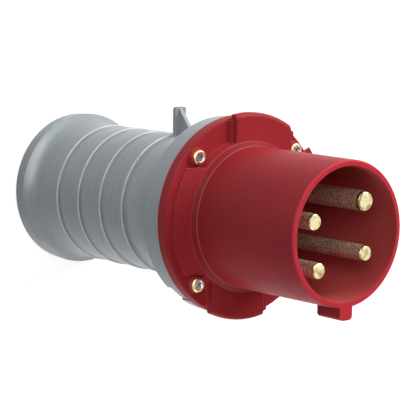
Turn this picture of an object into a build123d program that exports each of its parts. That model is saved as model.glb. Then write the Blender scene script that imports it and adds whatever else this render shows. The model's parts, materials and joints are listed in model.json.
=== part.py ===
from build123d import *
import os
from math import cos, radians, sin

# Industrial pin and sleeve plug, 63 A size, three phases and earth, in millimetres.
# The plug stands on its rear end. Z is its axis and points the way the sleeve mates.
# The origin is the centre of the rear end face. The key is on -Y, the catch lug on +Y.
# Every angle is counted from +Y, anticlockwise as seen from the mating end.

os.makedirs("parts", exist_ok=True)

# How far a cut or a joined form reaches past the face that it starts from
past = 1.0

# Sleeve
sleeve_radius = 35.5
sleeve_wall = 2.8
sleeve_draft = 0.4
sleeve_reach = 81.0
sleeve_root_spread = 2.4
sleeve_root_height = 2.0
rim_rounding = 0.7

# Key under the sleeve mouth
key_width = 8.0
key_length = 15.8
key_height = 6.0
key_rounding = 2.2
key_turn = 180.0

# Front flange and its raised forms
flange_thickness = 6.0
flange_edge_rounding = 1.0
shoulder_setback = 4.7
shoulder_step = 1.0
shoulder_half_width = 26.5
collar_margin = 3.0
collar_draft = 1.2
collar_rise = 4.0
lobe_overhang = 1.6
lobe_edge_rounding = 2.4
lobe_wall_rounding = 0.7
lobe_foot_fillet = 2.2
top_lobe_left = 9.5
top_lobe_right = 27.2
bottom_lobe_left = 23.7
bottom_lobe_right = 10.7
ledge_overhang = 1.0
ledge_width = 5.0
ledge_inside = 12.0
stop_overhang = 3.3
stop_edge = 0.3
stop_depth = 1.9
stop_turn = -61.2
stop_half_angle = 8.0

# Front housing behind the flange
floor_thickness = 6.0
floor_above_parting = 3.0
spigot_length = 8.0
spigot_wall = 2.3

# Grip housing
grip_length = 140.0
grip_radius = 37.4
grip_wall = 3.2
ring_count = 4
ring_pitch = 19.2
first_ring_height = 34.9
ring_step = 0.7
ring_lip = 0.5
ring_groove_width = 0.7
ring_groove_depth = 0.5
bell_radius = 41.7
bell_band_height = 8.4
bell_end_radius = 41.3
bell_edge_rounding = 0.8
bell_flare_length = 12.0
grip_flange_setback = 0.8
grip_flange_thickness = 13.0
grip_flange_draft = 0.9
relief_turn = 180.0
relief_half_angle = 44.0
relief_height = 4.0
relief_depth = 4.3
keel_half_angle = 33.5
keel_rise = 0.2
flare_length = 14.0
housing_clearance = 0.3

# Catch lug on the grip
lug_top_radius = 51.5
lug_width = 7.0
lug_thickness = 2.2
lug_corner = 1.4
lug_drop = 1.5
gusset_width = 2.2
gusset_reach = 13.0

# Seal ring between the two housings
seal_groove_inner = 35.4
seal_groove_outer = 38.0
seal_depth = 1.6

# Flange screws and their inserts
screw_collar_distance = 6.4
screw_edge_distance = 6.1
screw_turns = [45.0, 135.0, 225.0, 315.0]
screw_shank_radius = 2.0
screw_head_radius = 3.7
screw_head_height = 2.4
screw_head_rounding = 0.9
screw_end_gap = 0.6
screw_dish_radius = 2.3
screw_dish_slope = 0.4
screw_dish_depth = 0.5
screw_recess_reach = 1.9
screw_boss_radius = 4.5
screw_seat_rise = 1.0
screw_hole_clearance = 0.3
recess_width = 1.0
recess_depth = 1.5
insert_radius = 3.1
insert_length = 7.5
insert_relief = 1.2
insert_groove_width = 1.6
insert_groove_depth = 0.4

# Pins
earth_pitch_radius = 20.7
earth_turn = -46.3
line_pitch_radii = [18.2, 21.9, 20.2]
line_turns = [68.7, 141.0, -124.0]
earth_pin_radius = 5.0
line_pin_radius = 4.0
earth_tip_setback = 3.0
line_tip_setback = 4.0
pin_shank_step = 0.6
pin_shoulder_rise = 0.5
pin_hole_clearance = 0.15
pin_tip_rounding = 0.25
pin_tip_crown = 0.4
pin_collar_step = 1.2
pin_collar_thickness = 4.0
earth_terminal_radius = 7.5
line_terminal_radius = 6.5
terminal_length = 26.0
wire_hole_depth = 20.0
earth_wire_radius = 5.0
line_wire_radius = 4.5

# Terminal screws, two on each pin
terminal_screw_radius = 2.4
terminal_screw_gap = 9.0
terminal_screw_from_end = 6.0
terminal_head_radius = 3.6
terminal_head_height = 2.4
terminal_head_lift = 1.0
terminal_slot_width = 1.0
terminal_slot_depth = 1.0
terminal_screw_reach = 1.5

# Insulating carrier, its rear cover and their screws
carrier_clearance = 0.2
carrier_thickness = 16.0
cover_thickness = 5.0
barrier_thickness = 2.4
barrier_height = 28.0
barrier_hub_radius = 5.0
barrier_rim_gap = 3.5
carrier_screw_radius = 1.9
carrier_screw_head_radius = 3.4
carrier_screw_head_height = 2.4
carrier_screw_bite = 4.5
carrier_screw_end_gap = 0.5
carrier_screw_recess_reach = 2.0
carrier_screw_pitch_radius = 25.0
carrier_screw_clearance = 0.2

# Cable entry at the rear
web_thickness = 6.0
web_height = 38.0
web_hole_radius = 19.0
gland_radius = 27.0
gland_wall = 3.0
gland_mouth_height = 12.0
gland_rib_count = 8
gland_rib_thickness = 2.4
gland_clearance = 0.3
clamp_ring_thickness = 6.0
clamp_ring_bore = 17.0
clamp_nose_height = 4.0
clamp_screw_pitch_radius = 31.0
clamp_screw_turns = [45.0, 135.0, 225.0, 315.0]
clamp_ear_radius = 4.4
clamp_boss_depth = 16.0
clamp_screw_radius = 1.7
clamp_screw_head_radius = 3.2
clamp_screw_head_height = 2.2
clamp_screw_end_gap = 2.0
clamp_screw_clearance = 0.2
clamp_screw_recess_reach = 1.9
claw_base_thickness = 4.0
claw_count = 12
claw_slot = 2.0
claw_wall = 2.4
claw_height = 13.0
cable_radius = 14.0
bush_fit = 0.2
bush_nose_height = 3.0
bush_groove_count = 4
bush_groove_width = 2.2
bush_groove_depth = 1.0

# Radii and heights worked out from the sizes above
parting = grip_length
collar_radius = sleeve_radius + collar_margin
screw_pitch_radius = collar_radius + screw_collar_distance
flange_radius = screw_pitch_radius + screw_edge_distance
shoulder_radius = flange_radius - shoulder_setback
lobe_radius = flange_radius + lobe_overhang
ledge_radius = flange_radius + ledge_overhang
stop_radius = flange_radius + stop_overhang
grip_flange_radius = flange_radius - grip_flange_setback
relief_radius = grip_flange_radius - relief_depth
keel_radius = grip_flange_radius + keel_rise
rim_height = parting + sleeve_reach
flange_top = parting + flange_thickness
collar_top = flange_top + collar_rise
floor_bottom = parting + floor_above_parting
floor_top = floor_bottom + floor_thickness
carrier_bottom = floor_bottom - carrier_thickness
cover_bottom = carrier_bottom - cover_thickness
cavity_radius = grip_radius - ring_step - grip_wall
spigot_radius = cavity_radius - housing_clearance
carrier_radius = spigot_radius - spigot_wall - carrier_clearance
last_ring_height = first_ring_height + (ring_count - 1) * ring_pitch
bell_flare_top = bell_band_height + bell_flare_length
flare_top = parting - grip_flange_thickness
flare_bottom = flare_top - flare_length
clamp_top = gland_mouth_height
clamp_bottom = clamp_top - clamp_ring_thickness
claw_bottom = clamp_top + clamp_nose_height
seal_bottom = claw_bottom + claw_base_thickness


def at(radius, turn, height=0.0):
    """Place on the axis circle of this radius, turned so that local +Y points outwards."""
    angle = radians(turn)
    return Location((-radius * sin(angle), radius * cos(angle), height), (0, 0, turn))


def rod(radius, low, high):
    """Upright cylinder on the axis between two heights."""
    base = (Align.CENTER, Align.CENTER, Align.MIN)
    return Pos(0, 0, low) * Cylinder(radius, high - low, align=base)


def tube(outer, inner, low, high):
    """Upright tube on the axis between two heights."""
    return rod(outer, low, high) - rod(inner, low - past, high + past)


def block(width, depth_from, depth_to, low, high):
    """Box centred on local X, between two places along local Y and two heights."""
    base = (Align.CENTER, Align.MIN, Align.MIN)
    return Pos(0, depth_from, low) * Box(width, depth_to - depth_from, high - low, align=base)


def turned(lines):
    """Solid of revolution about Z from a closed outline in radius and height."""
    return revolve(Plane.XZ * make_face(lines), Axis.Z, 360)


def outline(*points):
    """Closed straight-sided outline."""
    return Polyline(*points, close=True)


def sector(radius, turn, half_angle, low, high):
    """Slice of a disc, centred on one turn."""
    arc = CenterArc((0, 0), radius, 90 - half_angle, 2 * half_angle)
    face = make_face([Line((0, 0), arc @ 0), arc, Line(arc @ 1, (0, 0))])
    return at(0, turn, low) * extrude(face, high - low)


def top_edges(shape, height):
    """Edges that lie flat at one height."""
    return shape.edges().filter_by_position(Axis.Z, height - 0.01, height + 0.01)


def cross_recess(reach, low, high):
    """Cross cut for a screwdriver between two heights."""
    arm = block(recess_width, -reach, reach, low, high)
    return arm + Rot(0, 0, 90) * arm


def save(shape, node):
    """Write one named piece."""
    shape.label = node
    export_step(shape, "parts/" + node + ".step")


def span(left, right, low, high):
    """Box from the axis outwards along +Y, between two places along X and two heights."""
    base = (Align.MIN, Align.MIN, Align.MIN)
    return Pos(left, 0, low) * Box(right - left, 2 * lobe_radius, high - low, align=base)


def lobe_foot(wall, outwards):
    """Concave foot of one side wall of a lobe, inside the flange's rounded edge."""
    fillet_end = wall + outwards * lobe_foot_fillet
    profile = make_face([
        Line((wall, flange_top), (fillet_end, flange_top)),
        TangentArc((fillet_end, flange_top), (wall, flange_top + lobe_foot_fillet), tangent=(-outwards, 0)),
        Line((wall, flange_top + lobe_foot_fillet), (wall, flange_top)),
    ])
    foot = extrude(Plane.XZ * profile, -flange_radius)
    return foot & rod(flange_radius - flange_edge_rounding, flange_top, collar_top)


def lobe(left, right):
    """Raised block on the flange between two side walls, which reaches past the rim."""
    raised = rod(lobe_radius, flange_top, collar_top) & span(left, right, flange_top, collar_top)
    rim = top_edges(raised, collar_top).sort_by(Axis.Y)[-1]
    raised = fillet(rim, lobe_edge_rounding)
    walls = [edge for edge in top_edges(raised, collar_top) if abs(edge.tangent_at(0.5).Y) > 0.9]
    raised = fillet(walls, lobe_wall_rounding)
    return raised + lobe_foot(left, -1) + lobe_foot(right, 1)


def ledge(wall, outwards):
    """Low ledge at the flange's level past one end of a lobe."""
    ends = sorted([wall - outwards * ledge_inside, wall + outwards * ledge_width])
    return rod(ledge_radius, parting, flange_top) & span(ends[0], ends[1], parting, flange_top)


def side_stop():
    """Pointed rib on the flange's rim that stops the socket's locking ring."""
    profile = turned(outline(
        (0, flange_top - stop_depth),
        (flange_radius, flange_top - stop_depth),
        (stop_radius, flange_top - stop_edge),
        (stop_radius, flange_top),
        (0, flange_top),
    ))
    return profile & sector(stop_radius, stop_turn, stop_half_angle, parting, flange_top)


def flange():
    """Front flange with its shoulders, collar ring, lobes, side stop and screw seats."""
    disc = rod(flange_radius, parting, flange_top)
    disc = fillet(top_edges(disc, flange_top), flange_edge_rounding)
    shoulder = turned(outline(
        (0, flange_top - past),
        (shoulder_radius, flange_top - past),
        (shoulder_radius, flange_top + shoulder_step),
        (collar_radius, collar_top),
        (0, collar_top),
    ))
    collar = turned(outline(
        (0, flange_top - past),
        (collar_radius + collar_draft, flange_top - past),
        (collar_radius + collar_draft, flange_top),
        (collar_radius, collar_top),
        (0, collar_top),
    ))
    body = disc + collar
    width = 2 * shoulder_half_width
    body += shoulder & Rot(0, 0, 90) * block(width, -flange_radius, flange_radius, parting, collar_top)
    body += lobe(-top_lobe_left, top_lobe_right)
    body += ledge(top_lobe_right, 1)
    body += Rot(0, 0, 180) * lobe(-bottom_lobe_right, bottom_lobe_left)
    body += Rot(0, 0, 180) * ledge(-bottom_lobe_right, -1)
    body += side_stop()
    for turn in screw_turns:
        body += at(screw_pitch_radius, turn) * rod(screw_boss_radius, parting, flange_top + screw_seat_rise)
    return body


def sleeve():
    """Long sleeve with a little draft and a conical root."""
    root = sleeve_radius + sleeve_draft
    foot = collar_top + sleeve_root_height
    base = root + sleeve_root_spread
    return turned([
        Line((0, floor_bottom), (base, floor_bottom)),
        Line((base, floor_bottom), (base, collar_top)),
        Line((base, collar_top), (root, foot)),
        Line((root, foot), (sleeve_radius, rim_height - rim_rounding)),
        Line((sleeve_radius, rim_height - rim_rounding), (sleeve_radius - rim_rounding, rim_height)),
        Line((sleeve_radius - rim_rounding, rim_height), (0, rim_height)),
        Line((0, rim_height), (0, floor_bottom)),
    ])


def key():
    """Key block under the mouth of the sleeve, flush with the rim."""
    reach = sleeve_radius + key_height
    body = block(key_width, sleeve_radius - sleeve_wall / 2, reach, rim_height - key_length, rim_height)
    outer = body.edges().filter_by(Axis.Z).sort_by(Axis.Y)[-2:]
    body = fillet(outer, key_rounding)
    return at(0, key_turn) * body


def pin_places():
    """Pin radius, terminal radius and place of every pin, earth first."""
    places = [(earth_pin_radius, earth_terminal_radius, at(earth_pitch_radius, earth_turn))]
    for pitch_radius, turn in zip(line_pitch_radii, line_turns):
        places.append((line_pin_radius, line_terminal_radius, at(pitch_radius, turn)))
    return places


def gap_turns():
    """Turn half way between each pair of neighbouring pins."""
    turns = sorted(turn % 360 for turn in [earth_turn] + line_turns)
    following = turns[1:] + [turns[0] + 360]
    return [(low + high) / 2 for low, high in zip(turns, following)]


def front_housing():
    """Red sleeve, flange, floor and rear spigot in one moulding."""
    body = flange() + sleeve() + key()
    body += rod(spigot_radius, parting - spigot_length, floor_top)
    body -= rod(sleeve_radius - sleeve_wall, floor_top, rim_height + past)
    body -= rod(spigot_radius - spigot_wall, parting - spigot_length - past, floor_bottom)
    for radius, terminal, place in pin_places():
        hole = rod(radius + pin_shank_step + pin_hole_clearance, floor_bottom - past, floor_top + past)
        body -= place * hole
    depth = carrier_screw_bite + carrier_screw_end_gap
    for hole in carrier_screw_holes(carrier_screw_radius, floor_bottom - past, floor_bottom + depth):
        body -= hole
    for turn in screw_turns:
        hole = rod(screw_shank_radius + screw_hole_clearance, parting - past, collar_top + past)
        body -= at(screw_pitch_radius, turn) * hole
    return body


def bell_flare(inset):
    """Hollow curve of the flared rear end, which leaves the grip smoothly and widens to the band."""
    start = (grip_radius - ring_step - inset, bell_flare_top)
    return TangentArc(start, (bell_radius - inset, bell_band_height), tangent=(0, -1))


def grip_profile():
    """Outer outline of the grip, closed along the axis."""
    lines = []
    pen = (0, 0)

    def go(radius, height):
        nonlocal pen
        lines.append(Line(pen, (radius, height)))
        pen = (radius, height)

    go(bell_end_radius - bell_edge_rounding, 0)
    go(bell_end_radius, bell_edge_rounding)
    go(bell_radius, bell_band_height)
    low = grip_radius - ring_step
    lines.append(bell_flare(0))
    pen = (low, bell_flare_top)
    go(low, first_ring_height - ring_groove_width)
    for index in range(ring_count):
        height = first_ring_height + index * ring_pitch
        go(low - ring_groove_depth, height)
        go(grip_radius - ring_lip, height)
        go(grip_radius, height + ring_lip)
        if index < ring_count - 1:
            go(low, height + ring_pitch - ring_groove_width)
    go(grip_radius, flare_bottom)
    crown = (grip_flange_radius - grip_flange_draft, flare_top)
    lines.append(TangentArc(pen, crown, tangent=(0, 1)))
    pen = crown
    go(grip_flange_radius, parting)
    go(0, parting)
    go(0, 0)
    return lines


def bell_inside():
    """Hollow of the flared rear end, outside the gland tube."""
    low = grip_radius - ring_step - grip_wall
    return turned([
        Line((0, -past), (bell_end_radius - grip_wall, -past)),
        Line((bell_end_radius - grip_wall, -past), (bell_radius - grip_wall, bell_band_height)),
        bell_flare(grip_wall),
        Line((low, bell_flare_top), (low, web_height)),
        Line((low, web_height), (0, web_height)),
        Line((0, web_height), (0, -past)),
    ])


def rear_hollow():
    """Room round the gland tube, with bosses and ribs left standing in it."""
    high = web_height + past
    hollow = bell_inside() - rod(gland_radius + gland_wall, gland_mouth_height, high)
    for turn in clamp_screw_turns:
        boss = rod(clamp_ear_radius, gland_mouth_height, high)
        hollow -= at(clamp_screw_pitch_radius, turn) * boss
    pitch = 360 / gland_rib_count
    for index in range(gland_rib_count):
        rib = block(gland_rib_thickness, gland_radius, bell_radius, gland_mouth_height, high)
        hollow -= at(0, pitch / 2 + index * pitch) * rib
    return hollow


def relief():
    """Cut that thins the back of the grip flange beside the keel."""
    low = flare_top - past
    high = flare_top + relief_height
    reach = grip_flange_radius + past
    return sector(reach, relief_turn, relief_half_angle, low, high) - rod(relief_radius, low, high)


def lug():
    """Catch lug: a cross plate with a gusset towards the flange."""
    foot = grip_radius - grip_wall / 2
    low = last_ring_height + ring_lip - lug_drop
    plate = block(lug_width, foot, lug_top_radius, low, low + lug_thickness)
    corners = plate.edges().filter_by(Axis.Z).sort_by(Axis.Y)[-2:]
    plate = fillet(corners, lug_corner)
    top = low + lug_thickness
    side = make_face(Polyline(
        (foot, low),
        (lug_top_radius - lug_corner / 2, low),
        (lug_top_radius - lug_corner / 2, top),
        (foot, top + gusset_reach),
        close=True,
    ))
    gusset = extrude(Plane.YZ * side, gusset_width / 2, both=True)
    return plate + gusset


def grip_housing():
    """Grey grip: ringed body, flared rear end, flange, lug and gland tube in one moulding."""
    shell = turned(grip_profile()) + lug()
    shell -= relief()
    shell += sector(keel_radius, relief_turn, keel_half_angle, flare_top + relief_height, parting)
    shell -= rod(cavity_radius, web_height + web_thickness, parting + past)
    shell -= rear_hollow()
    shell -= rod(gland_radius, -past, web_height)
    shell -= rod(web_hole_radius, web_height - past, web_height + web_thickness + past)
    shell -= tube(seal_groove_outer, seal_groove_inner, parting - seal_depth, parting + past)
    for turn in clamp_screw_turns:
        hole = rod(clamp_screw_radius, gland_mouth_height - past, gland_mouth_height + clamp_boss_depth)
        shell -= at(clamp_screw_pitch_radius, turn) * hole
    for turn in screw_turns:
        hole = rod(insert_radius, parting - insert_length, parting + past)
        hole += rod(screw_shank_radius + screw_hole_clearance,
                    parting - insert_length - insert_relief, parting + past)
        shell -= at(screw_pitch_radius, turn) * hole
    return shell


def housing_seal():
    """Flat rubber ring that fills its groove."""
    return tube(seal_groove_outer, seal_groove_inner, parting - seal_depth, parting)


def flange_screw(turn):
    """Pan-head screw with a dished cross recess, down into the insert."""
    seat = flange_top + screw_seat_rise
    head = rod(screw_head_radius, seat, seat + screw_head_height)
    top = seat + screw_head_height
    head = fillet(top_edges(head, top), screw_head_rounding)
    head -= turned(outline(
        (0, top - screw_dish_depth),
        (screw_dish_radius - screw_dish_slope, top - screw_dish_depth),
        (screw_dish_radius, top),
        (screw_dish_radius, top + past),
        (0, top + past),
    ))
    head -= cross_recess(screw_recess_reach, top - screw_dish_depth - recess_depth, top)
    shank = rod(screw_shank_radius, parting - insert_length - insert_relief + screw_end_gap, seat)
    return at(screw_pitch_radius, turn) * (head + shank)


def thread_insert(turn):
    """Brass insert in the grip flange, with a grip groove round its middle."""
    body = tube(insert_radius, screw_shank_radius, parting - insert_length, parting)
    low = parting - insert_length / 2 - insert_groove_width / 2
    outer = insert_radius + past
    body -= tube(outer, insert_radius - insert_groove_depth, low, low + insert_groove_width)
    return at(screw_pitch_radius, turn) * body


def pin(radius, place, tip_setback, terminal_radius, wire_radius):
    """Turned contact pin with a rounded tip, a collar and a tubular terminal."""
    tip = rim_height - tip_setback
    edge = radius * pin_tip_rounding
    shank = radius + pin_shank_step
    shoulder = floor_top + pin_shoulder_rise
    collar = terminal_radius + pin_collar_step
    end = cover_bottom - terminal_length
    seat = carrier_bottom + pin_collar_thickness
    body = turned([
        Line((0, end), (terminal_radius, end)),
        Line((terminal_radius, end), (terminal_radius, carrier_bottom)),
        Line((terminal_radius, carrier_bottom), (collar, carrier_bottom)),
        Line((collar, carrier_bottom), (collar, seat)),
        Line((collar, seat), (shank, seat)),
        Line((shank, seat), (shank, shoulder)),
        Line((shank, shoulder), (radius, shoulder)),
        Line((radius, shoulder), (radius, tip - edge - pin_tip_crown)),
        RadiusArc((radius, tip - edge - pin_tip_crown), (radius - edge, tip - pin_tip_crown), -edge),
        Line((radius - edge, tip - pin_tip_crown), (0, tip)),
        Line((0, tip), (0, end)),
    ])
    body -= rod(wire_radius, end - past, end + wire_hole_depth)
    for height in terminal_screw_heights():
        hole = rod(terminal_screw_radius, 0, terminal_radius + past)
        body -= Pos(0, 0, height) * Rot(-90, 0, 0) * hole
    return place * body


def terminal_screw_heights():
    """Heights of the two wire screws on every terminal."""
    first = cover_bottom - terminal_length + terminal_screw_from_end
    return [first, first + terminal_screw_gap]


def terminal_screws(place, terminal_radius, wire_radius):
    """Pair of wire screws that point outwards from one terminal."""
    low = terminal_radius + terminal_head_lift
    high = low + terminal_head_height
    reach = terminal_head_radius + past
    screw = rod(terminal_screw_radius, wire_radius - terminal_screw_reach, low)
    screw += rod(terminal_head_radius, low, high)
    screw -= block(terminal_slot_width, -reach, reach, high - terminal_slot_depth, high + past)
    pair = []
    for height in terminal_screw_heights():
        pair.append(place * Pos(0, 0, height) * Rot(-90, 0, 0) * screw)
    return Compound(children=pair)


def carrier_screw_turns():
    """Turns of the screws that hold the carrier, in the two widest gaps between pins."""
    turns = gap_turns()
    return [turns[1], turns[3]]


def carrier_screw_holes(radius, low, high):
    """Holes for the carrier screws between two heights."""
    holes = []
    for turn in carrier_screw_turns():
        holes.append(at(carrier_screw_pitch_radius, turn) * rod(radius, low, high))
    return holes


def pin_carrier():
    """Insulating block that the four pins pass through."""
    body = rod(carrier_radius, carrier_bottom, floor_bottom)
    for radius, terminal, place in pin_places():
        shank = radius + pin_shank_step
        hole = rod(shank + pin_hole_clearance, carrier_bottom - past, floor_bottom + past)
        hole += rod(terminal + pin_collar_step + pin_hole_clearance,
                    carrier_bottom - past, carrier_bottom + pin_collar_thickness)
        body -= place * hole
    for hole in carrier_screw_holes(carrier_screw_radius + carrier_screw_clearance,
                                    carrier_bottom - past, floor_bottom + past):
        body -= hole
    return body


def carrier_cover():
    """Rear cover that traps the pin collars, with walls between the terminals."""
    body = rod(carrier_radius, cover_bottom, carrier_bottom)
    reach = carrier_radius - barrier_rim_gap
    low = cover_bottom - barrier_height
    body += rod(barrier_hub_radius, low, cover_bottom)
    for turn in gap_turns():
        body += at(0, turn) * block(barrier_thickness, 0, reach, low, cover_bottom)
    for radius, terminal, place in pin_places():
        body -= place * rod(terminal + pin_hole_clearance, low - past, carrier_bottom + past)
    for hole in carrier_screw_holes(carrier_screw_radius + carrier_screw_clearance,
                                    low - past, carrier_bottom + past):
        body -= hole
    for hole in carrier_screw_holes(carrier_screw_head_radius + carrier_screw_clearance,
                                    low - past, cover_bottom):
        body -= hole
    return body


def carrier_screw(turn):
    """Long screw through cover and carrier into the floor of the front housing."""
    low = cover_bottom - carrier_screw_head_height
    shank = rod(carrier_screw_radius, cover_bottom, floor_bottom + carrier_screw_bite)
    head = rod(carrier_screw_head_radius, low, cover_bottom)
    head -= cross_recess(carrier_screw_recess_reach, low - past, low + recess_depth)
    return at(carrier_screw_pitch_radius, turn) * (shank + head)


def clamp_ring():
    """Pressure ring of the cable entry, with ears for its screws and a nose on the claws."""
    body = rod(gland_radius + gland_wall, clamp_bottom, clamp_top)
    for turn in clamp_screw_turns:
        body += at(clamp_screw_pitch_radius, turn) * rod(clamp_ear_radius, clamp_bottom, clamp_top)
    body += rod(gland_radius - gland_clearance, clamp_top, claw_bottom)
    body -= rod(clamp_ring_bore, clamp_bottom - past, claw_bottom + past)
    for turn in clamp_screw_turns:
        hole = rod(clamp_screw_radius + clamp_screw_clearance, clamp_bottom - past, clamp_top + past)
        body -= at(clamp_screw_pitch_radius, turn) * hole
    return body


def clamp_screw(turn):
    """Screw of the pressure ring, turned from the rear."""
    low = clamp_bottom - clamp_screw_head_height
    head = rod(clamp_screw_head_radius, low, clamp_bottom)
    head -= cross_recess(clamp_screw_recess_reach, low - past, low + recess_depth)
    shank = rod(clamp_screw_radius, clamp_bottom, clamp_top + clamp_boss_depth - clamp_screw_end_gap)
    return at(clamp_screw_pitch_radius, turn) * (head + shank)


def claw_ring():
    """Ring of springy claws that squeezes the rubber bush."""
    outer = gland_radius - gland_clearance
    body = tube(outer, clamp_ring_bore, claw_bottom, seal_bottom)
    high = seal_bottom + claw_height
    body += tube(outer, outer - claw_wall, seal_bottom - past, high)
    for index in range(claw_count):
        cut = block(claw_slot, outer - claw_wall - past, outer + past, seal_bottom, high + past)
        body -= at(0, index * 360 / claw_count) * cut
    return body


def cable_bush():
    """Rubber bush that seals on the cable, ribbed inside, with a nose in the web hole."""
    outer = gland_radius - gland_clearance - claw_wall - bush_fit
    body = rod(outer, seal_bottom, web_height)
    body += rod(web_hole_radius - bush_fit, web_height, web_height + bush_nose_height)
    body -= rod(cable_radius, seal_bottom - past, web_height + bush_nose_height + past)
    pitch = (web_height - seal_bottom) / bush_groove_count
    for index in range(bush_groove_count):
        low = seal_bottom + (index + 0.5) * pitch - bush_groove_width / 2
        body -= rod(cable_radius + bush_groove_depth, low, low + bush_groove_width)
    return body


save(front_housing(), "front_housing")
save(grip_housing(), "grip_housing")
save(housing_seal(), "housing_seal")
save(pin_carrier(), "pin_carrier")
save(carrier_cover(), "carrier_cover")
for number, (radius, terminal, place) in enumerate(pin_places()):
    if number == 0:
        save(pin(radius, place, earth_tip_setback, terminal, earth_wire_radius), "earth_pin")
        save(terminal_screws(place, terminal, earth_wire_radius), "earth_terminal_screws")
    else:
        save(pin(radius, place, line_tip_setback, terminal, line_wire_radius),
             "line_pin_" + str(number))
        save(terminal_screws(place, terminal, line_wire_radius),
             "line_terminal_screws_" + str(number))
for number, turn in enumerate(carrier_screw_turns(), start=1):
    save(carrier_screw(turn), "carrier_screw_" + str(number))
for number, turn in enumerate(screw_turns, start=1):
    save(flange_screw(turn), "flange_screw_" + str(number))
    save(thread_insert(turn), "thread_insert_" + str(number))
save(clamp_ring(), "clamp_ring")
for number, turn in enumerate(clamp_screw_turns, start=1):
    save(clamp_screw(turn), "clamp_screw_" + str(number))
save(claw_ring(), "claw_ring")
save(cable_bush(), "cable_bush")
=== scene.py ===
import bpy
import json
from collections import namedtuple
from math import hypot, radians
from mathutils import Matrix, Vector

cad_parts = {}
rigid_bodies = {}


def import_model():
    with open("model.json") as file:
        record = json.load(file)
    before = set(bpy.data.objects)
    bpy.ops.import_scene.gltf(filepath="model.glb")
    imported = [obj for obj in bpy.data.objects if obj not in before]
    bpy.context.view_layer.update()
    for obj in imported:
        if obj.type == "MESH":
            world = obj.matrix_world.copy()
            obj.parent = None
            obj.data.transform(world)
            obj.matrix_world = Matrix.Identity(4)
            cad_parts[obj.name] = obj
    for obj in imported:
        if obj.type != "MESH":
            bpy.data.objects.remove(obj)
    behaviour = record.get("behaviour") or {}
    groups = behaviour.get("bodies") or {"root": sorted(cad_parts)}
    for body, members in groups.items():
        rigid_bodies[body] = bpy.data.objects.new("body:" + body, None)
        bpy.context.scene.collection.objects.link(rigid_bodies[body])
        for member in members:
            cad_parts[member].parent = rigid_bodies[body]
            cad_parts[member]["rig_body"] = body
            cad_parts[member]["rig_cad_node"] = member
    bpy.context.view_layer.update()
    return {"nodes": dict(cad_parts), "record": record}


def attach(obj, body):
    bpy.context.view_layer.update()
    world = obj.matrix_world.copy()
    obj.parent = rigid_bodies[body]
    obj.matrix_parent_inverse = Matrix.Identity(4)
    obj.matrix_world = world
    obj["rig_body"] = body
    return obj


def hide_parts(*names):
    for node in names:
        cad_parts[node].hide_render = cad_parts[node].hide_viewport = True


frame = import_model()
nodes = frame["nodes"]

# The photo's camera, as the plug's own axes see it: its place in metres and its directions
CAMERA_PLACE = Vector((-0.5881, 0.1263, 0.8266))
CAMERA_RIGHT = Vector((0.77034, 0.01378, 0.63748))
CAMERA_DOWN = Vector((-0.07622, -0.99061, 0.11352))
CAMERA_AHEAD = Vector((0.63306, -0.13604, -0.76206))
VIEW_DEPTH = 20

# Its lens: the photo's measures in pixels, and the sensor's and the lens's in millimetres
PHOTO_WIDTH_PIXELS = 420
FOCAL_LENGTH_PIXELS = 1800
SENSOR_WIDTH = 36.0
FOCAL_LENGTH = SENSOR_WIDTH * FOCAL_LENGTH_PIXELS / PHOTO_WIDTH_PIXELS

# Studio: the lamps and where they look, the floor, and how little the white background lights
LAMP_AIM = Vector((0, 0, 0.14))
LAMP_DISTANCE = 1.5
LAMP_SIZE = 0.9
LONG_LAMP_WIDTH = 1.9
FLOOR_SIZE = 12
FLOOR_ROUGHNESS = 0.9
FLOOR_GLOW = 0.85
BACKGROUND_LIGHT = 0.015

# Finishes, as linear colours
WHITE = (1, 1, 1, 1)
FLOOR_GREY = (0.30, 0.30, 0.30, 1)
RED = (0.375, 0.024, 0.032, 1)
RED_DEEP = (0.325, 0.020, 0.027, 1)
# Painted shade on the cone at the sleeve's root
RED_PAINTED_ROOT_SHADE = (0.23, 0.013, 0.017, 1)
# Painted highlight on the red edges and on the line at the sleeve's root
RED_PAINTED_HIGHLIGHT = (0.72, 0.13, 0.15, 1)
# Painted light on the sleeve's rim face
RED_PAINTED_RIM_LIGHT = (0.60, 0.034, 0.052, 1)
# Painted light inside the sleeve
RED_PAINTED_INSIDE_LIGHT = (0.52, 0.090, 0.085, 1)
GREY = (0.350, 0.388, 0.417, 1)
GREY_DEEP = (0.305, 0.343, 0.370, 1)
# Lighter edge colour of the grey: partly wear, partly painted highlight
GREY_EDGE_WEAR_AND_HIGHLIGHT = (0.56, 0.59, 0.61, 1)
GREY_TURNED = (0.245, 0.275, 0.300, 1)
# Painted highlight on the crests of the grip's lips
GREY_PAINTED_LIP_HIGHLIGHT = (0.68, 0.71, 0.73, 1)
# Painted shade in the grip's grooves
GREY_PAINTED_GROOVE_SHADE = (0.19, 0.21, 0.225, 1)
# Painted shade on the grip's rear end band
GREY_PAINTED_END_SHADE = (0.29, 0.32, 0.34, 1)
BLACK = (0.012, 0.012, 0.013, 1)
BLACK_DEEP = (0.008, 0.008, 0.009, 1)
# Lighter edge colour of the black: partly wear, partly painted highlight
BLACK_EDGE_WEAR_AND_HIGHLIGHT = (0.045, 0.045, 0.048, 1)
RUBBER = (0.010, 0.010, 0.011, 1)
RUBBER_DEEP = (0.018, 0.018, 0.019, 1)
# Lighter edge colour of the rubber: partly wear, partly painted highlight
RUBBER_EDGE_WEAR_AND_HIGHLIGHT = (0.03, 0.03, 0.032, 1)
BRASS = (0.80, 0.62, 0.30, 1)
BRASS_DULL = (0.20, 0.125, 0.075, 1)
PIN_PALE = (0.95, 0.72, 0.53, 1)
PIN_BROWN = (0.27, 0.155, 0.10, 1)
PIN_TIP = (0.88, 0.78, 0.46, 1)
PIN_TIP_DULL = (0.46, 0.34, 0.15, 1)
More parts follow.
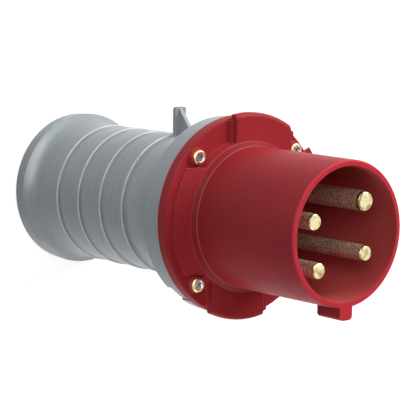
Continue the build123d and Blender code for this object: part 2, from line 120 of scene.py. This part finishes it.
# Painted reflection: dark patches on the round of the pins' crowns
PIN_CROWN_PAINTED_REFLECTION = (0.10, 0.085, 0.035, 1)
ZINC_YELLOW = (0.76, 0.54, 0.32, 1)
ZINC_YELLOW_DULL = (0.50, 0.33, 0.18, 1)
STEEL = (0.60, 0.60, 0.61, 1)
STEEL_DULL = (0.42, 0.42, 0.43, 1)

# Grip rings: height of the first, their pitch and their number
FIRST_RING = 0.0349
RING_PITCH = 0.0192
RING_COUNT = 4

# Ringed stretch of the grip: its ends, and how far the step at a ring reaches to either side of it
STRETCH_BOTTOM = 0.0204
STRETCH_TOP = 0.1130
STEP_BELOW = 0.0007
STEP_ABOVE = 0.0005

# Radii of the stretch as the frame has it: every band narrows towards the next ring's step
BAND_WIDE = 0.0374
BAND_NARROW = 0.0367
STEP_FOOT = 0.0362
STEP_EDGE = 0.0369

# Radii of the real one, where it differs: every band widens to a lip, and a groove follows
GROOVE_FLOOR = 0.03635
BAND_START = 0.0366

# Within the stretch, only the outside of the grip is further out than this
OUTSIDE = 0.0360

# How near two heights, two radii or two corners have to be to count as one
SAME_HEIGHT = 0.00002
SAME_RADIUS = 0.00003
SAME_CORNER = 0.000002

# Edges that turn by more than this stay sharp
SMOOTH_ANGLE = radians(24)

# Places along a band, from 0 at its own ring to 1 at the next, and how far from them a finish changes
LIP_PLACE = 0.967
LIP_REACH = (0.010, 0.016)
VALLEY_PLACE = 0.52
VALLEY_REACH = 0.06
BAND_MIDDLE = 0.505
GROOVE_SHADE_REACH = (0.478, 0.486)

# Heights, radii and offsets on the plug that a finish follows
RINGS_BOTTOM = 0.0333
RINGS_TOP = 0.0930
END_BAND_TOP = 0.0084
INSIDE_LIGHT_BOTTOM = 0.1460
SLEEVE_INSIDE = 0.0345
ROOT_BOTTOM = 0.1501
ROOT_TOP = 0.1520
ROOT_HIGHLIGHT_HEIGHT = 0.1522
RIM_HEIGHT = 0.2202
PIN_TIP_HEIGHT = 0.2156
SCREW_OFFSET = 0.03175
SCREW_DISH = 0.0022

# Widths over which one finish gives way to the next
SHARP = 0.0002
CRISP = 0.0003
SOFT = 0.0004
SLOW = 0.0010

# Upward part of a pin's normal, from the round of its crown to its flat end
CROWN_SLOPE = (0.90, 0.97)

# How far edges look rounded, and how alike two normals are where an edge's wear and painted highlight
# starts and is full
PLASTIC_EDGE = 0.00035
METAL_EDGE = 0.00015
EDGE_SAMPLES = 6
EDGE_LIKENESS = (0.995, 0.90)

# Range that most of a noise lies in
NOISE_MIDDLE = (0.3, 0.7)

# One layer of a surface's relief: its height, its strength and its depth in metres
Layer = namedtuple("Layer", "height strength depth")


def new_material(name):
    """Node material that holds only its shader and output, and the object coordinates."""
    material = bpy.data.materials.new(name)
    material.use_nodes = True
    tree = material.node_tree
    tree.nodes.clear()
    output = tree.nodes.new("ShaderNodeOutputMaterial")
    shader = tree.nodes.new("ShaderNodeBsdfPrincipled")
    tree.links.new(shader.outputs["BSDF"], output.inputs["Surface"])
    coordinates = tree.nodes.new("ShaderNodeTexCoord")
    return material, tree, shader, coordinates.outputs["Object"]


def connect(tree, value, socket):
    """Plug a number or another node's output into a socket."""
    if isinstance(value, (int, float)):
        socket.default_value = value
    else:
        tree.links.new(value, socket)


def calculate(tree, operation, first, second=0.0):
    """One arithmetic step."""
    node = tree.nodes.new("ShaderNodeMath")
    node.operation = operation
    connect(tree, first, node.inputs[0])
    connect(tree, second, node.inputs[1])
    return node.outputs[0]


def product(tree, first, *others):
    """Values multiplied together."""
    result = first
    for other in others:
        result = calculate(tree, "MULTIPLY", result, other)
    return result


def difference(tree, value, place):
    """How far a value is from a place, on either side of it."""
    return calculate(tree, "ABSOLUTE", calculate(tree, "SUBTRACT", value, place))


def distance(tree, across, along):
    """Distance from an axis, from the two offsets."""
    squares = calculate(tree, "ADD", product(tree, across, across), product(tree, along, along))
    return calculate(tree, "SQRT", squares)


def axes(tree, vector):
    """The X, Y and Z of a place or a normal."""
    node = tree.nodes.new("ShaderNodeSeparateXYZ")
    tree.links.new(vector, node.inputs[0])
    return node.outputs


def noise(tree, place, scale, detail, stretch=(1, 1, 1)):
    """Noise on object coordinates, finer along an axis where stretch is over 1."""
    mapping = tree.nodes.new("ShaderNodeMapping")
    mapping.inputs["Scale"].default_value = stretch
    tree.links.new(place, mapping.inputs["Vector"])
    texture = tree.nodes.new("ShaderNodeTexNoise")
    texture.inputs["Scale"].default_value = scale
    texture.inputs["Detail"].default_value = detail
    tree.links.new(mapping.outputs["Vector"], texture.inputs["Vector"])
    return texture.outputs["Fac"]


def remap(tree, value, low, high, to_low, to_high):
    """A value's range carried over to another range, and held at its ends."""
    node = tree.nodes.new("ShaderNodeMapRange")
    ends = {"From Min": low, "From Max": high, "To Min": to_low, "To Max": to_high}
    for name, number in ends.items():
        node.inputs[name].default_value = number
    tree.links.new(value, node.inputs["Value"])
    return node.outputs["Result"]


def above(tree, value, low, high):
    """Mask that is 0 at low and 1 at high, and held beyond them."""
    return remap(tree, value, low, high, 0, 1)


def below(tree, value, low, high):
    """Mask that is 1 at low and 0 at high, and held beyond them."""
    return remap(tree, value, low, high, 1, 0)


def spread(tree, value, low, high):
    """A noise's middle range spread over two numbers."""
    return remap(tree, value, *NOISE_MIDDLE, low, high)


def blend_colours(tree, value, first, second):
    """Two colours, or outputs of colour, mixed by a value."""
    mix = tree.nodes.new("ShaderNodeMix")
    mix.data_type = "RGBA"
    for name, colour in (("A", first), ("B", second)):
        if isinstance(colour, tuple):
            mix.inputs[name].default_value = colour
        else:
            tree.links.new(colour, mix.inputs[name])
    tree.links.new(value, mix.inputs["Factor"])
    return mix.outputs["Result"]


def surface_normal(tree):
    """The surface's own normal."""
    return tree.nodes.new("ShaderNodeNewGeometry").outputs["Normal"]


def rolled_normal(tree, radius):
    """Normal that rolls over the edges."""
    bevel = tree.nodes.new("ShaderNodeBevel")
    bevel.samples = EDGE_SAMPLES
    bevel.inputs["Radius"].default_value = radius
    return bevel.outputs["Normal"]


def edge_mask(tree, rolled):
    """Mask that is 1 along the edges, where the rolled normal leaves the surface's own."""
    dot = tree.nodes.new("ShaderNodeVectorMath")
    dot.operation = "DOT_PRODUCT"
    tree.links.new(rolled, dot.inputs[0])
    tree.links.new(surface_normal(tree), dot.inputs[1])
    return above(tree, dot.outputs["Value"], *EDGE_LIKENESS)


def add_relief(tree, shader, layers, normal=None):
    """Layers of relief, one on another, on top of a normal if one is given."""
    for layer in layers:
        node = tree.nodes.new("ShaderNodeBump")
        node.inputs["Strength"].default_value = layer.strength
        node.inputs["Distance"].default_value = layer.depth
        tree.links.new(layer.height, node.inputs["Height"])
        if normal is not None:
            tree.links.new(normal, node.inputs["Normal"])
        normal = node.outputs["Normal"]
    tree.links.new(normal, shader.inputs["Normal"])


def moulded_plastic(name, colours, roughness, gloss, grain, relief=None, tint=None, edge_wear_and_highlight=(0.15, 0.8)):
    """Moulded plastic: soft clouds, fine grain, flow lines round the axis, and edges lightened as wear and
    painted highlight.

    colours are the body's, the clouds' and the lightened edges'. The last argument is the least and the
    most that an edge is lightened, as wear and painted highlight. relief and tint add a piece's own layers
    and colours.
    """
    material, tree, shader, place = new_material(name)
    body, deep, worn = colours

    clouds = noise(tree, place, scale=28, detail=4)
    colour = blend_colours(tree, spread(tree, clouds, 0, 1), body, deep)
    if tint is not None:
        colour = tint(tree, place, colour)
    rolled = rolled_normal(tree, PLASTIC_EDGE)
    # Edges lightened in colour: partly rubbed wear, partly painted highlight
    edge_strength = spread(tree, noise(tree, place, scale=420, detail=3), *edge_wear_and_highlight)
    rubbed_and_highlit = product(tree, edge_mask(tree, rolled), edge_strength)
    tree.links.new(blend_colours(tree, rubbed_and_highlit, colour, worn), shader.inputs["Base Color"])

    patches = noise(tree, place, scale=90, detail=3)
    smears = noise(tree, place, scale=900, detail=2, stretch=(0.3, 1, 1))
    patchy = spread(tree, patches, roughness - 0.03, roughness + 0.04)
    smeared = spread(tree, smears, -0.02, 0.02)
    tree.links.new(calculate(tree, "ADD", patchy, smeared), shader.inputs["Roughness"])
    shader.inputs["Specular IOR Level"].default_value = gloss

    flow = noise(tree, place, scale=60, detail=2, stretch=(0.4, 0.4, 14))
    fine = noise(tree, place, scale=2600, detail=2)
    layers = [Layer(flow, strength=0.10, depth=0.0003), Layer(fine, strength=grain, depth=0.0001)]
    if relief is not None:
        layers += relief(tree, place)
    add_relief(tree, shader, layers, rolled)
    return material


def place_along_band(tree, height):
    """Place along the grip's band at a height, from 0 at its own ring to 1 at the next."""
    rings = calculate(tree, "DIVIDE", calculate(tree, "SUBTRACT", height, FIRST_RING), RING_PITCH)
    return calculate(tree, "FRACT", rings)


def grip_relief(tree, place):
    """Fine turned lines on the grip and a shallow valley along the middle of every band."""
    along = place_along_band(tree, axes(tree, place)["Z"])
    valley = above(tree, difference(tree, along, VALLEY_PLACE), 0, VALLEY_REACH)
    lines = noise(tree, place, scale=90, detail=2, stretch=(0.5, 0.5, 16))
    return [Layer(valley, strength=0.35, depth=0.00012), Layer(lines, strength=0.40, depth=0.0001)]


def grip_tint(tree, place, colour):
    """Turned lines on the grip, painted shade on the end band and in the grooves at the rings, and painted
    highlights on the lips.
    """
    height = axes(tree, place)["Z"]
    turned = noise(tree, place, scale=90, detail=3, stretch=(0.5, 0.5, 14))
    colour = blend_colours(tree, spread(tree, turned, 0, 0.55), colour, GREY_TURNED)
    # Painted shade: the rear end band is darkened in its colour
    end_band_shade = below(tree, height, END_BAND_TOP - SHARP, END_BAND_TOP)
    colour = blend_colours(tree, end_band_shade, colour, GREY_PAINTED_END_SHADE)

    over_bottom = above(tree, height, RINGS_BOTTOM, RINGS_BOTTOM + SOFT)
    under_top = below(tree, height, RINGS_TOP, RINGS_TOP + SOFT)
    ringed = product(tree, over_bottom, under_top)
    along = place_along_band(tree, height)
    # Painted shade: the grooves at the rings are darkened in their colour
    groove_shade = remap(tree, difference(tree, along, BAND_MIDDLE), *GROOVE_SHADE_REACH, 0, 0.85)
    colour = blend_colours(tree, product(tree, groove_shade, ringed), colour, GREY_PAINTED_GROOVE_SHADE)
    # Painted highlight: a patchy pale line along the crest of every lip
    lip_highlight = below(tree, difference(tree, along, LIP_PLACE), *LIP_REACH)
    patchy = spread(tree, noise(tree, place, scale=160, detail=3), 0.45, 1.0)
    return blend_colours(tree, product(tree, lip_highlight, ringed, patchy), colour, GREY_PAINTED_LIP_HIGHLIGHT)


def sleeve_tint(tree, place, colour):
    """Painted light deep inside the sleeve, painted shade on the cone at its root with a painted highlight
    line at its top, and a brighter red painted as light on the rim.
    """
    parts = axes(tree, place)
    height = parts["Z"]
    inside = below(tree, distance(tree, parts["X"], parts["Y"]), SLEEVE_INSIDE - CRISP, SLEEVE_INSIDE)
    outside = calculate(tree, "SUBTRACT", 1.0, inside)

    # Painted light: a lighter, greyer red deep inside the sleeve
    deep = above(tree, height, INSIDE_LIGHT_BOTTOM, INSIDE_LIGHT_BOTTOM + SLOW)
    inside_light_patches = spread(tree, noise(tree, place, scale=60, detail=4), 0.75, 1.0)
    colour = blend_colours(tree, product(tree, inside, deep, inside_light_patches), colour, RED_PAINTED_INSIDE_LIGHT)

    # Painted shade: the cone at the sleeve's root is darkened in its colour
    over_bottom = above(tree, height, ROOT_BOTTOM, ROOT_BOTTOM + CRISP)
    under_top = below(tree, height, ROOT_TOP - CRISP, ROOT_TOP + SLOW)
    colour = blend_colours(tree, product(tree, over_bottom, under_top, outside), colour, RED_PAINTED_ROOT_SHADE)
    # Painted highlight: a thin bright line along the top of the root cone
    root_highlight = remap(tree, difference(tree, height, ROOT_HIGHLIGHT_HEIGHT), SHARP, SOFT, 0.65, 0)
    colour = blend_colours(tree, product(tree, root_highlight, outside), colour, RED_PAINTED_HIGHLIGHT)

    # Painted light: the rim face is a brighter red
    rim_light = above(tree, height, RIM_HEIGHT, RIM_HEIGHT + SOFT)
    return blend_colours(tree, rim_light, colour, RED_PAINTED_RIM_LIGHT)


def turned_metal(name, bright, dull, roughness):
    """Turned or plated metal with mottled dull patches."""
    material, tree, shader, place = new_material(name)
    shader.inputs["Metallic"].default_value = 1.0
    mottle = noise(tree, place, scale=700, detail=5)
    colour = blend_colours(tree, spread(tree, mottle, 0, 1), bright, dull)
    tree.links.new(colour, shader.inputs["Base Color"])
    tree.links.new(spread(tree, mottle, roughness, roughness + 0.15), shader.inputs["Roughness"])
    grain = noise(tree, place, scale=2400, detail=2)
    add_relief(tree, shader, [Layer(grain, strength=0.1, depth=0.0001)], rolled_normal(tree, METAL_EDGE))
    return material


def pin_metal():
    """Brown speckled brass on the pins' shafts, and polished pale tips with dark patches painted on the
    crown as reflection.
    """
    material, tree, shader, place = new_material("pin_brass")

    speckle = above(tree, noise(tree, place, scale=1100, detail=4), 0.36, 0.62)
    stain = spread(tree, noise(tree, place, scale=240, detail=4, stretch=(1, 1, 0.35)), 0, 1)
    mottled = calculate(tree, "ADD", product(tree, speckle, 0.7), product(tree, stain, 0.3))
    shaft = blend_colours(tree, mottled, PIN_PALE, PIN_BROWN)

    worn = above(tree, noise(tree, place, scale=330, detail=2), 0.50, 0.68)
    polish = blend_colours(tree, worn, PIN_TIP, PIN_TIP_DULL)
    # Painted reflection: dark patches on the crown, where its normal turns from the flat end
    crown = below(tree, axes(tree, surface_normal(tree))["Z"], *CROWN_SLOPE)
    crown_reflection_spots = remap(tree, noise(tree, place, scale=190, detail=1), 0.46, 0.54, 0, 0.85)
    polish = blend_colours(tree, product(tree, crown, crown_reflection_spots), polish, PIN_CROWN_PAINTED_REFLECTION)

    tip = above(tree, axes(tree, place)["Z"], PIN_TIP_HEIGHT - CRISP, PIN_TIP_HEIGHT + CRISP)
    tree.links.new(blend_colours(tree, tip, shaft, polish), shader.inputs["Base Color"])
    tree.links.new(remap(tree, tip, 0, 1, 0.5, 1), shader.inputs["Metallic"])
    rough = calculate(tree, "SUBTRACT", spread(tree, speckle, 0.34, 0.5), product(tree, tip, 0.22))
    tree.links.new(rough, shader.inputs["Roughness"])
    turned = noise(tree, place, scale=130, detail=2, stretch=(0.5, 0.5, 26))
    layers = [Layer(speckle, strength=0.25, depth=0.0001), Layer(turned, strength=0.12, depth=0.0001)]
    add_relief(tree, shader, layers)
    return material


def screw_metal():
    """Pale gold plating on the screws, with the bare dish and cross of the flange screws silvery."""
    material, tree, shader, place = new_material("screw_zinc")
    shader.inputs["Metallic"].default_value = 1.0
    mottle = noise(tree, place, scale=900, detail=5)
    plating = blend_colours(tree, spread(tree, mottle, 0, 1), ZINC_YELLOW, ZINC_YELLOW_DULL)
    parts = axes(tree, place)
    across, along = [
        calculate(tree, "SUBTRACT", calculate(tree, "ABSOLUTE", parts[axis]), SCREW_OFFSET)
        for axis in ("X", "Y")
    ]
    dish = below(tree, distance(tree, across, along), SCREW_DISH, SCREW_DISH + SHARP)
    tree.links.new(blend_colours(tree, dish, plating, STEEL_DULL), shader.inputs["Base Color"])
    tree.links.new(spread(tree, mottle, 0.24, 0.4), shader.inputs["Roughness"])
    add_relief(tree, shader, [Layer(mottle, strength=0.08, depth=0.0001)], rolled_normal(tree, METAL_EDGE))
    return material


materials = {
    # Red edges are lightened strongly: painted highlight more than wear
    "red_plastic": moulded_plastic(
        "red_plastic", (RED, RED_DEEP, RED_PAINTED_HIGHLIGHT), roughness=0.46, gloss=0.10, grain=0.10,
        tint=sleeve_tint, edge_wear_and_highlight=(0.55, 1.0)),
    "grey_plastic": moulded_plastic(
        "grey_plastic", (GREY, GREY_DEEP, GREY_EDGE_WEAR_AND_HIGHLIGHT), roughness=0.34, gloss=0.44, grain=0.16,
        relief=grip_relief, tint=grip_tint),
    "black_plastic": moulded_plastic(
        "black_plastic", (BLACK, BLACK_DEEP, BLACK_EDGE_WEAR_AND_HIGHLIGHT), roughness=0.45, gloss=0.4, grain=0.12),
    "rubber": moulded_plastic(
        "rubber", (RUBBER, RUBBER_DEEP, RUBBER_EDGE_WEAR_AND_HIGHLIGHT), roughness=0.62, gloss=0.3, grain=0.2),
    "pin_brass": pin_metal(),
    "insert_brass": turned_metal("insert_brass", BRASS, BRASS_DULL, roughness=0.3),
    "screw_zinc": screw_metal(),
    "steel": turned_metal("steel", STEEL, STEEL_DULL, roughness=0.3),
}


def finish_nodes():
    """Every node gets the material of the slot that its row in the record names."""
    for row in frame["record"]["subparts"]:
        piece = nodes[row["node"]]
        for index in range(len(piece.data.materials)):
            piece.data.materials[index] = materials[row["material_slot"]]


def grip_outlines():
    """Outlines of the ringed stretch, as the frame has it and as the real one is.

    Each is a list of (height, radius) corners.
    """
    plain = [(STRETCH_BOTTOM, BAND_NARROW)]
    lipped = [(STRETCH_BOTTOM, BAND_NARROW)]
    for index in range(RING_COUNT):
        ring = FIRST_RING + index * RING_PITCH
        plain += [(ring - STEP_BELOW, BAND_NARROW), (ring, STEP_FOOT), (ring, STEP_EDGE),
                  (ring + STEP_ABOVE, BAND_WIDE)]
        lipped += [(ring - STEP_BELOW, BAND_WIDE), (ring, GROOVE_FLOOR), (ring + STEP_ABOVE, BAND_START)]
    plain.append((STRETCH_TOP, BAND_WIDE))
    lipped.append((STRETCH_TOP, BAND_WIDE))
    return plain, lipped


def radii_at(outline, height):
    """Radii of an outline's corners at a height, or the one between two corners."""
    corners = [radius for place, radius in outline if abs(place - height) < SAME_HEIGHT]
    if corners:
        return corners
    for (low, first), (high, last) in zip(outline, outline[1:]):
        if low <= height <= high and high > low:
            return [first + (last - first) * (height - low) / (high - low)]
    return []


def copy_grip():
    """Copy of the grip housing, without the marks of a node and with its loose triangles merged."""
    piece = nodes["grip_housing"].copy()
    piece.data = nodes["grip_housing"].data.copy()
    piece.name = "ringed_grip"
    bpy.context.scene.collection.objects.link(piece)
    piece.parent = None
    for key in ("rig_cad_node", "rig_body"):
        if key in piece:
            del piece[key]
    bpy.ops.object.select_all(action="DESELECT")
    bpy.context.view_layer.objects.active = piece
    piece.select_set(True)
    bpy.ops.mesh.customdata_custom_splitnormals_clear()
    bpy.ops.object.mode_set(mode="EDIT")
    bpy.ops.mesh.select_all(action="SELECT")
    bpy.ops.mesh.remove_doubles(threshold=SAME_CORNER)
    bpy.ops.object.mode_set(mode="OBJECT")
    return piece


def add_ringed_grip():
    """Grip whose bands slope up to a lip and drop into a groove at every ring."""
    piece = copy_grip()
    plain, lipped = grip_outlines()
    for vertex in piece.data.vertices:
        radius = hypot(vertex.co.x, vertex.co.y)
        height = vertex.co.z
        if STRETCH_BOTTOM < height < STRETCH_TOP - SAME_HEIGHT and radius > OUTSIDE:
            if any(abs(radius - corner) < SAME_RADIUS for corner in radii_at(plain, height)):
                scale = radii_at(lipped, height)[0] / radius
                vertex.co.x *= scale
                vertex.co.y *= scale
    bpy.ops.object.shade_smooth_by_angle(angle=SMOOTH_ANGLE)
    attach(piece, "root")
    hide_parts("grip_housing")


def seen_directly(tree):
    """1 for rays from the camera, in a reflection or through glass, and 0 for those that light things."""
    rays = tree.nodes.new("ShaderNodeLightPath")
    seen = calculate(tree, "MAXIMUM", rays.outputs["Is Camera Ray"], rays.outputs["Is Glossy Ray"])
    return calculate(tree, "MAXIMUM", seen, rays.outputs["Is Transmission Ray"])


def add_floor():
    """Pale floor under the standing plug, white to the camera, that keeps the plug's shadow."""
    bpy.ops.object.select_all(action="DESELECT")
    bpy.ops.mesh.primitive_plane_add(size=FLOOR_SIZE, location=(0, 0, 0))
    floor = bpy.context.object
    floor.name = "floor"
    material, tree, shader, _ = new_material("floor")
    shader.inputs["Base Color"].default_value = FLOOR_GREY
    shader.inputs["Roughness"].default_value = FLOOR_ROUGHNESS
    shader.inputs["Emission Color"].default_value = WHITE
    tree.links.new(product(tree, seen_directly(tree), FLOOR_GLOW), shader.inputs["Emission Strength"])
    floor.data.materials.append(material)


def add_lamp(name, direction, power, width=LAMP_SIZE):
    """Soft lamp in a direction from the middle of the plug, that looks back at it."""
    lamp = bpy.data.lights.new(name, "AREA")
    lamp.shape = "RECTANGLE"
    lamp.size = width
    lamp.size_y = LAMP_SIZE
    lamp.energy = power
    light = bpy.data.objects.new(name, lamp)
    bpy.context.scene.collection.objects.link(light)
    away = Vector(direction).normalized()
    light.location = LAMP_AIM + away * LAMP_DISTANCE
    light.rotation_euler = away.to_track_quat("Z", "Y").to_euler()
    return light


def add_lamps():
    """Four soft lamps, and a long one that only reflections see, for the shine on the flared rear."""
    add_lamp("lamp_below", direction=(0, -1, 0.15), power=12)
    add_lamp("lamp_above", direction=(0, 1, -0.1), power=11)
    add_lamp("lamp_right_front", direction=(0.6, 0.6, 0.53), power=22)
    add_lamp("lamp_left_front", direction=(-0.57, 0.46, 0.84), power=8.5)
    shine = add_lamp("lamp_left_shine", direction=(-0.8, 0.58, 0.12), power=42, width=LONG_LAMP_WIDTH)
    shine.visible_diffuse = False


def add_camera():
    """Camera at the photo's place and angle."""
    data = bpy.data.cameras.new("camera")
    data.sensor_width = SENSOR_WIDTH
    data.lens = FOCAL_LENGTH
    data.clip_end = VIEW_DEPTH
    camera = bpy.data.objects.new("camera", data)
    bpy.context.scene.collection.objects.link(camera)
    turn = Matrix((CAMERA_RIGHT, -CAMERA_DOWN, -CAMERA_AHEAD)).transposed().to_4x4()
    camera.matrix_world = Matrix.Translation(CAMERA_PLACE) @ turn
    bpy.context.scene.camera = camera


def add_background():
    """White all round for the camera and reflections, and nearly dark as a light."""
    world = bpy.data.worlds.new("studio")
    bpy.context.scene.world = world
    world.use_nodes = True
    tree = world.node_tree
    back = tree.nodes["Background"]
    back.inputs["Color"].default_value = WHITE
    strength = calculate(tree, "MAXIMUM", seen_directly(tree), BACKGROUND_LIGHT)
    tree.links.new(strength, back.inputs["Strength"])


finish_nodes()
add_ringed_grip()
add_floor()
add_camera()
add_lamps()
add_background()
bpy.context.scene.view_settings.view_transform = "Standard"
